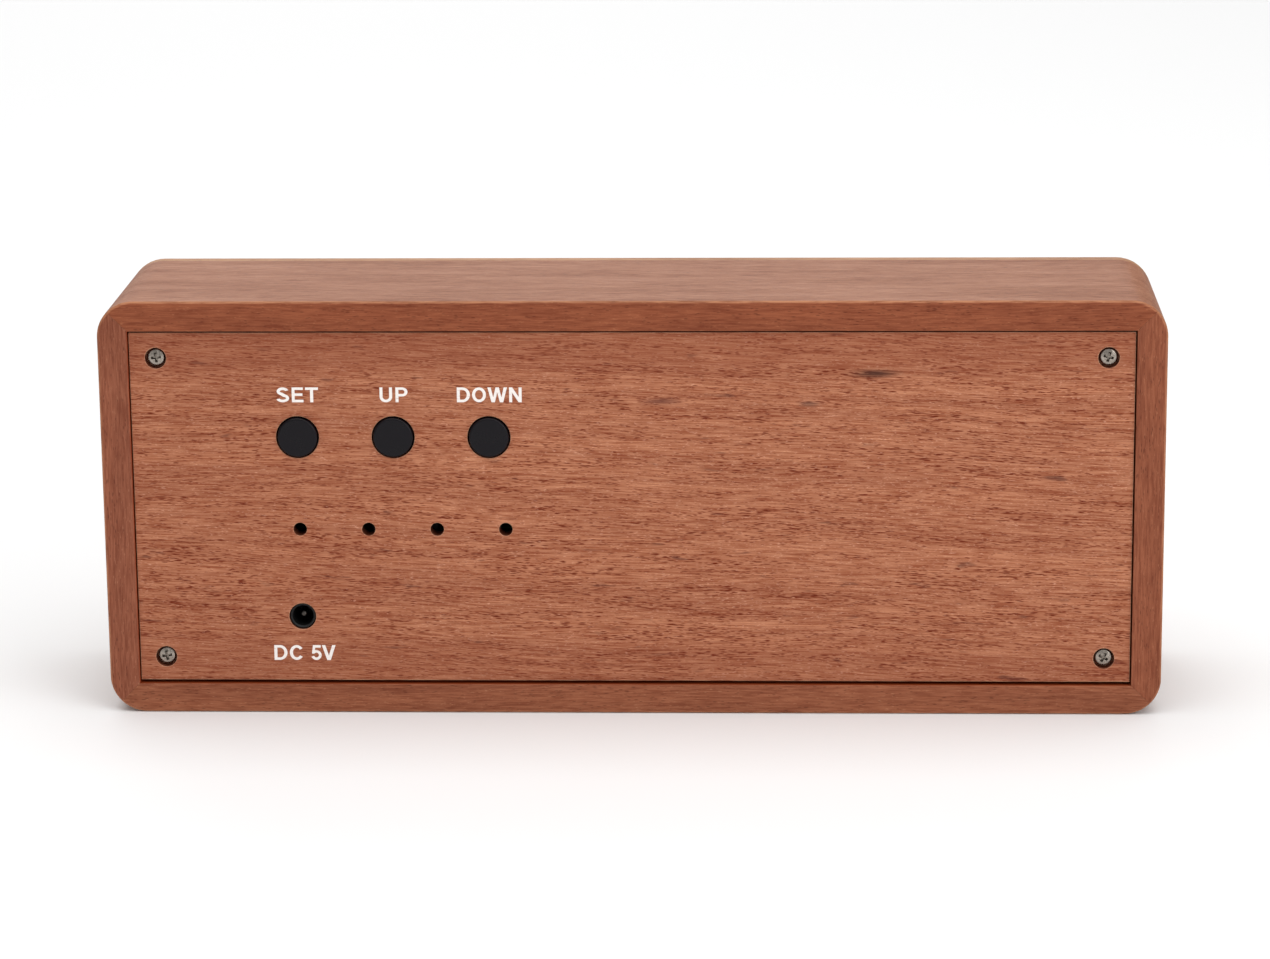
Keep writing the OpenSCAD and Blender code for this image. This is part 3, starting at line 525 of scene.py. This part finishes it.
# Printed words
# White screen-printed ink over the keys and under the socket, a few hundredths of a millimetre thick.
# Matt and slightly broken where it bridges the wood's open pores.
INK_T = 0.03 * MM
# Degrees in a step of an arc, fewest steps, and millimetres within which points are joined
ARC_STEP = 9
ARC_FEWEST = 6
JOIN = 0.0005
# Loops of each letter in a box of 1 by 1: a pair is a corner, six numbers are an arc of an ellipse
# (middle across and up, radius across and up, first and last angle).
LETTERS = {
    "S": [[(0.5, 0.735, 0.46, 0.265, 15, 235), (0.5, 0.27, 0.26, 0.095, 80, -165),
           (0.5, 0.27, 0.5, 0.27, -165, 55), (0.5, 0.735, 0.215, 0.09, 260, 15)]],
    "E": [[(0, 0), (0, 1), (0.97, 1), (0.97, 0.83), (0.25, 0.83), (0.25, 0.6), (0.92, 0.6), (0.92, 0.43),
           (0.25, 0.43), (0.25, 0.17), (1, 0.17), (1, 0)]],
    "T": [[(0, 1), (1, 1), (1, 0.83), (0.62, 0.83), (0.62, 0), (0.38, 0), (0.38, 0.83), (0, 0.83)]],
    "U": [[(0, 1), (0.5, 0.36, 0.5, 0.36, 180, 360), (1, 1), (0.76, 1),
           (0.5, 0.37, 0.26, 0.195, 360, 180), (0.24, 1)]],
    "P": [[(0, 0), (0, 1), (0.56, 0.695, 0.44, 0.305, 90, -90), (0.25, 0.39), (0.25, 0)],
          [(0.25, 0.555), (0.25, 0.835), (0.56, 0.695, 0.19, 0.14, 90, -90)]],
    "D": [[(0, 0), (0, 1), (0.42, 0.5, 0.58, 0.5, 90, -90)],
          [(0.23, 0.17), (0.23, 0.83), (0.42, 0.5, 0.34, 0.33, 90, -90)]],
    "O": [[(0.5, 0.5, 0.5, 0.5, 0, 345)], [(0.5, 0.5, 0.28, 0.32, 0, 345)]],
    "W": [[(0, 1), (0.17, 1), (0.29, 0.33), (0.415, 1), (0.585, 1), (0.71, 0.33), (0.83, 1), (1, 1),
           (0.8, 0), (0.625, 0), (0.5, 0.66), (0.375, 0), (0.2, 0)]],
    "N": [[(0, 0), (0, 1), (0.25, 1), (0.76, 0.36), (0.76, 1), (1, 1), (1, 0), (0.75, 0), (0.24, 0.64),
           (0.24, 0)]],
    "C": [[(0.53, 0.5, 0.53, 0.5, 35, 325), (0.53, 0.5, 0.29, 0.325, 325, 35)]],
    "5": [[(0.14, 1), (0.93, 1), (0.93, 0.83), (0.36, 0.83), (0.47, 0.335, 0.53, 0.335, 105, -160),
           (0.47, 0.335, 0.25, 0.165, -160, 150), (0.02, 0.44)]],
    "V": [[(0, 1), (0.25, 1), (0.5, 0.3), (0.75, 1), (1, 1), (0.63, 0), (0.37, 0)]],
}
# Foot and head of each word, and each letter with its first and last edge across the panel, in mm
WORDS = {
    "set_word": (54.57, 57.14, (("S", 59.9, 57.72), ("E", 57.27, 55.3), ("T", 54.99, 52.8))),
    "up_word": (54.57, 57.14, (("U", 42.38, 40.25), ("P", 39.69, 37.64))),
    "down_word": (54.57, 57.14, (("D", 29.3, 27.08), ("O", 26.73, 24.37), ("W", 24.12, 20.8),
                                 ("N", 20.46, 18.34))),
    "supply_word": (9.2, 11.85, (("D", 61.58, 59.32), ("C", 58.92, 56.65), ("5", 55.14, 53.46),
                                 ("V", 53.38, 51.02))),
}
# Lays a drawing on the panel so that it reads from the rear
READ_FROM_REAR = Matrix(((-1, 0, 0, 0), (0, 0, 1, 0), (0, 1, 0, 0), (0, 0, 0, 1)))


def white_ink():
    """Screen-printed ink: matt warm white, thinner over the pores."""
    pore = (1.2 * MM, 1.0 * MM, 0.25 * MM)
    material = blank("white_screen_ink")
    tree = material.node_tree
    place = add(tree, "TexCoord").outputs["Object"]
    long = add(tree, "Mapping", {}, {"Vector": place, "Scale": [1 / size for size in pore]})
    thin = add(tree, "TexNoise", {}, {"Vector": long, "Scale": 1.0, "Detail": 2.0})
    thin_share = add(tree, "MapRange", {"interpolation_type": "SMOOTHSTEP"},
                     {"Value": thin, "From Min": 0.62, "From Max": 0.74, "To Max": 0.5})
    ink = add(tree, "Mix", {"data_type": "RGBA"},
              {"Factor": thin_share, "A": colour("#F6EFEA"), "B": colour("#D2A590")})
    relief = add(tree, "Bump", {}, {"Strength": 0.3, "Distance": 0.02 * MM, "Height": thin})
    surface = add(tree, "BsdfPrincipled", {},
                  {"Base Color": ink, "Roughness": 0.6, "IOR": 1.5, "Specular IOR Level": 0.3,
                   "Normal": relief})
    add(tree, "OutputMaterial", {}, {"Surface": surface})
    return material


def loop_points(loop):
    """Corners of one loop of a letter, with its arcs drawn out."""
    points = []
    for part in loop:
        if len(part) == 2:
            points.append(part)
            continue
        across, up, radius_x, radius_y, first, last = part
        count = max(ARC_FEWEST, round(abs(last - first) / ARC_STEP))
        for step in range(count + 1):
            angle = math.radians(first + (last - first) * step / count)
            points.append((across + radius_x * math.cos(angle), up + radius_y * math.sin(angle)))
    return points


ink = white_ink()
panel_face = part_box("rear_panel")[1].y
for word_name, (foot, head, letters) in WORDS.items():
    outline = bpy.data.curves.new(word_name, "CURVE")
    outline.dimensions = "2D"
    outline.fill_mode = "BOTH"
    outline.extrude = INK_T / MM / 2
    for letter, first_edge, last_edge in letters:
        for loop in LETTERS[letter]:
            points = loop_points(loop)
            spline = outline.splines.new("POLY")
            spline.points.add(len(points) - 1)
            spline.use_cyclic_u = True
            for corner, (across, up) in zip(spline.points, points):
                corner_x = (first_edge - last_edge) * across - first_edge
                corner.co = (corner_x, foot + (head - foot) * up, 0, 1)
    drawn = bpy.data.objects.new(word_name + "_outline", outline)
    bpy.context.scene.collection.objects.link(drawn)
    bpy.context.view_layer.update()
    filled = drawn.evaluated_get(bpy.context.evaluated_depsgraph_get())
    word_data = bpy.data.meshes.new_from_object(filled)
    bpy.data.objects.remove(drawn)
    solid = bmesh.new()
    solid.from_mesh(word_data)
    bmesh.ops.remove_doubles(solid, verts=solid.verts, dist=JOIN)
    bmesh.ops.recalc_face_normals(solid, faces=solid.faces)
    solid.to_mesh(word_data)
    solid.free()
    on_panel = Matrix.Translation((0, panel_face + INK_T / 2, 0))
    word_data.transform(on_panel @ Matrix.Scale(MM, 4) @ READ_FROM_REAR)
    word = bpy.data.objects.new(word_name, word_data)
    bpy.context.scene.collection.objects.link(word)
    dress(word, ink)
    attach(word, "case")

# Power socket
# A black moulded housing with a nose through the panel, a plated pin and a side contact of brass.
# The housing is dull, the pin darkened as painted shade in its bore, the contact plain rolled brass.
socket_pbt = moulded("moulded_black_pbt", ("#0E0E0E", "#181817"), grit=0.2, roughness=(0.42, 0.6))
dress(nodes["jack_housing"], socket_pbt)
# The pin's metal is darkened: painted shade deep in the socket's bore.
shaded_pin_steel = plated_metal("shaded_plated_pin", ("#3E3B38", "#5E5A55"), mark_size=0.3, roughness=(0.2, 0.4))
dress(nodes["jack_pin"], shaded_pin_steel)
brass = plated_metal("rolled_brass", ("#B08A3C", "#D8B566"), mark_size=0.5, roughness=(0.2, 0.4))
dress(nodes["jack_contact"], brass)

# Switches, buzzer and key board
# Push switches, a buzzer can, a header and the socket, soldered to a small board on four nylon posts.
# Black plastic, plated steel and a green solder mask over copper tracks.
inner_nickel = plated_metal("nickel_plated_steel", ("#A5A099", "#D6D2CA"),
                            mark_size=0.4, roughness=(0.18, 0.42))


def solder_mask(name):
    """Green lacquer over copper tracks: the tracks show as paler raised lines."""
    cell = 9 * MM
    ripple = 4 * MM
    material = blank(name)
    tree = material.node_tree
    place = add(tree, "TexCoord").outputs["Object"]
    flat = add(tree, "Mapping", {}, {"Vector": place, "Rotation": (math.radians(90), 0, 0),
                                     "Scale": (1 / cell, 1 / cell, 1 / cell)})
    tracks = add(tree, "TexBrick", {"squash": 0.6, "squash_frequency": 3},
                 {"Vector": flat, "Scale": 1.0, "Mortar Size": 0.02, "Mortar Smooth": 0.2,
                  "Brick Width": 0.9, "Row Height": 0.14})
    lacquer = add(tree, "TexNoise", {}, {"Vector": place, "Scale": 1 / ripple, "Detail": 3.0})
    mask = add(tree, "Mix", {"data_type": "RGBA"},
               {"Factor": lacquer, "A": colour("#10402A"), "B": colour("#185236")})
    green = add(tree, "Mix", {"data_type": "RGBA"},
                {"Factor": tracks.outputs["Fac"], "A": mask, "B": colour("#2E7A50")})
    rough = add(tree, "MapRange", {}, {"Value": lacquer, "To Min": 0.25, "To Max": 0.45})
    relief = add(tree, "Bump", {},
                 {"Strength": 0.5, "Distance": 0.03 * MM, "Height": tracks.outputs["Fac"]})
    surface = add(tree, "BsdfPrincipled", {},
                  {"Base Color": green, "Roughness": rough, "IOR": 1.5, "Normal": relief})
    add(tree, "OutputMaterial", {}, {"Surface": surface})
    return material


board_mask = solder_mask("green_solder_mask")
nylon = moulded("moulded_nylon", ("#D2CFC2", "#E6E3D8"), grit=0.3, roughness=(0.4, 0.6))
for plastic_name in ("set_plunger", "up_plunger", "down_plunger", "switch_bases", "buzzer"):
    dress(nodes[plastic_name], socket_pbt)
for steel_name in ("switch_covers", "switch_legs", "key_board_screws"):
    dress(nodes[steel_name], inner_nickel)
for nylon_name in ("key_board_posts", "key_header"):
    dress(nodes[nylon_name], nylon)
dress(nodes["key_board"], board_mask)

# Display
# A moulded white reflector with milky lenses in its wells and a yellow light chip under each lens.
# It lies behind the front panel's skin, where nothing shows while it is off.
reflector = moulded("moulded_white_reflector", ("#C6C6C2", "#DADAD6"), grit=0.3, roughness=(0.45, 0.65))
dress(nodes["display_housing"], reflector)
lens_resin = moulded("milky_cast_resin", ("#E2E1DA", "#EEEDE6"),
                     grit=0.5, roughness=(0.15, 0.3), specular=0.5)
dress(nodes["display_lenses"], lens_resin)
phosphor = moulded("yellow_phosphor", ("#D8B84C", "#E8CF74"), grit=0.1, roughness=(0.35, 0.5))
dress(nodes["light_chips"], phosphor)

# Main board
# The clock's larger board on four nylon standoffs, with its chip, crystal, capacitor and coin cell.
# Green lacquer, black moulded chip and cell holder, plated cans and clip, and a film sleeve.


def sleeve_film(name):
    """Shrunk film on a capacitor: dark blue with a pale stripe, bare aluminium at the end."""
    crease_size = 1.5 * MM
    material = blank(name)
    tree = material.node_tree
    place = add(tree, "TexCoord").outputs["Object"]
    normal = add(tree, "SeparateXYZ", {}, {"Vector": add(tree, "NewGeometry").outputs["True Normal"]})
    crease = add(tree, "TexNoise", {}, {"Vector": place, "Scale": 1 / crease_size, "Detail": 3.0})
    film = add(tree, "Mix", {"data_type": "RGBA"},
               {"Factor": crease, "A": colour("#12193C"), "B": colour("#1E2A5A")})
    stripe = add(tree, "MapRange", {}, {"Value": normal.outputs["X"], "From Min": 0.8, "From Max": 0.84})
    film = add(tree, "Mix", {"data_type": "RGBA"}, {"Factor": stripe, "A": film, "B": colour("#B8BCC8")})
    end = add(tree, "MapRange", {}, {"Value": normal.outputs["Y"], "From Min": 0.9, "From Max": 0.95})
    film = add(tree, "Mix", {"data_type": "RGBA"}, {"Factor": end, "A": film, "B": colour("#A8A9AC")})
    rough = add(tree, "MapRange", {}, {"Value": crease, "To Min": 0.2, "To Max": 0.4})
    relief = add(tree, "Bump", {}, {"Strength": 0.4, "Distance": 0.03 * MM, "Height": crease})
    surface = add(tree, "BsdfPrincipled", {},
                  {"Base Color": film, "Roughness": rough, "IOR": 1.5, "Normal": relief})
    add(tree, "OutputMaterial", {}, {"Surface": surface})
    return material


dress(nodes["main_board"], board_mask)
dress(nodes["capacitor"], sleeve_film("shrunk_film_sleeve"))
for plastic_name in ("clock_chip", "cell_holder"):
    dress(nodes[plastic_name], socket_pbt)
for steel_name in ("board_screws", "crystal", "coin_cell", "cell_clip"):
    dress(nodes[steel_name], inner_nickel)
for nylon_name in ("board_standoffs", "main_header", "cable_plugs"):
    dress(nodes[nylon_name], nylon)

# Flat cable
# Grey ribbed sheath round ten wires, bent twice between the boards' plugs.
# Dull, with a shallow groove between wires.
WIRE_PITCH = 1.1 * MM
# The wave texture turns by this many radians in each unit of its scale
WAVE_TURN = 20


def ribbed_sheath(name):
    """Grey ribbed sheath: a rounded rib over each wire, darker in the grooves as painted shade."""
    dust_size = 1.2 * MM
    dust_share = 0.3
    material = blank(name)
    tree = material.node_tree
    place = add(tree, "TexCoord").outputs["Object"]
    turn = 2 * math.pi / WIRE_PITCH
    ribs = add(tree, "TexWave", {"wave_type": "BANDS", "bands_direction": "Z"},
               {"Vector": place, "Scale": turn / WAVE_TURN, "Distortion": 0.0,
                "Phase Offset": -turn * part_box("flat_cable")[0].z})
    dust = add(tree, "TexNoise", {}, {"Vector": place, "Scale": 1 / dust_size, "Detail": 3.0})
    # The grooves between ribs are painted darker: painted shade.
    level = add(tree, "Math", {"operation": "MULTIPLY_ADD"}, {0: dust, 1: dust_share, 2: ribs})
    sheath = add(tree, "Mix", {"data_type": "RGBA"},
                 {"Factor": level, "A": colour("#6E6E6E"), "B": colour("#A4A4A2")})
    relief = add(tree, "Bump", {}, {"Strength": 0.6, "Distance": 0.15 * MM, "Height": ribs})
    surface = add(tree, "BsdfPrincipled", {},
                  {"Base Color": sheath, "Roughness": 0.55, "IOR": 1.5, "Normal": relief})
    add(tree, "OutputMaterial", {}, {"Surface": surface})
    return material


dress(nodes["flat_cable"], ribbed_sheath("ribbed_grey_sheath"))

# Studio
# A pale floor under soft light from a plain white sky: a broad lamp above, a weaker one beside the
# camera and one behind.
FLOOR_HALF = 3.0
FLOOR_DROP = 0.05 * MM
AMBIENT = 0.5
# Place, side and watts of each lamp
LAMPS = {
    "overhead": ((0.0, 0.15, 1.3), 1.6, 15.0),
    "camera_side": ((-0.6, 0.65, 0.4), 0.6, 2.6),
    "behind": ((0.2, -1.3, 0.8), 1.2, 5.0),
}
scene = bpy.context.scene
floor_data = bpy.data.meshes.new("studio_floor")
floor_corners = [(-1, -1), (1, -1), (1, 1), (-1, 1)]
floor_data.from_pydata([(x * FLOOR_HALF, y * FLOOR_HALF, -FLOOR_DROP) for x, y in floor_corners],
                       [], [(0, 1, 2, 3)])
floor = bpy.data.objects.new("studio_floor", floor_data)
scene.collection.objects.link(floor)
floor_paint = blank("white_floor_paint")
floor_surface = add(floor_paint.node_tree, "BsdfDiffuse", {}, {"Color": colour("#EEEEEE")})
add(floor_paint.node_tree, "OutputMaterial", {}, {"Surface": floor_surface})
dress(floor, floor_paint)

clock_middle = (cad_box[0] + cad_box[1]) / 2
for lamp_name, (lamp_place, lamp_size, lamp_watts) in LAMPS.items():
    lamp_data = bpy.data.lights.new(lamp_name, "AREA")
    lamp_data.shape = "SQUARE"
    lamp_data.size = lamp_size
    lamp_data.energy = lamp_watts
    lamp = bpy.data.objects.new(lamp_name, lamp_data)
    lamp.location = lamp_place
    lamp.rotation_mode = "QUATERNION"
    lamp.rotation_quaternion = (clock_middle - Vector(lamp_place)).to_track_quat("-Z", "Y")
    scene.collection.objects.link(lamp)

air = bpy.data.worlds.new("studio_air")
air.use_nodes = True
air.node_tree.nodes.clear()
sky = add(air.node_tree, "Background", {}, {"Color": colour("#FFFFFF"), "Strength": AMBIENT})
add(air.node_tree, "OutputWorld", {}, {"Surface": sky})
scene.world = air
scene.view_settings.view_transform = "Standard"

# Camera
# A long lens behind the clock, a little above it and to one side, placed by a fit of the case's
# edges and gaps in the photo.
CAMERA_PLACE = (-0.0306, 0.711, 0.2135)
CAMERA_PITCH = math.radians(13.9827)
CAMERA_HEADING = math.radians(182.4803)
CAMERA_ROLL = math.radians(-0.561)
CAMERA_LENS = 119.4677
CAMERA_SENSOR = 36.0
camera_data = bpy.data.cameras.new("camera")
camera_data.lens = CAMERA_LENS
camera_data.sensor_width = CAMERA_SENSOR
camera_data.sensor_fit = "HORIZONTAL"
camera = bpy.data.objects.new("camera", camera_data)
aim = (Matrix.Rotation(CAMERA_HEADING, 4, "Z") @ Matrix.Rotation(math.pi / 2 - CAMERA_PITCH, 4, "X")
       @ Matrix.Rotation(CAMERA_ROLL, 4, "Z"))
camera.matrix_world = Matrix.Translation(CAMERA_PLACE) @ aim
scene.collection.objects.link(camera)
scene.camera = camera
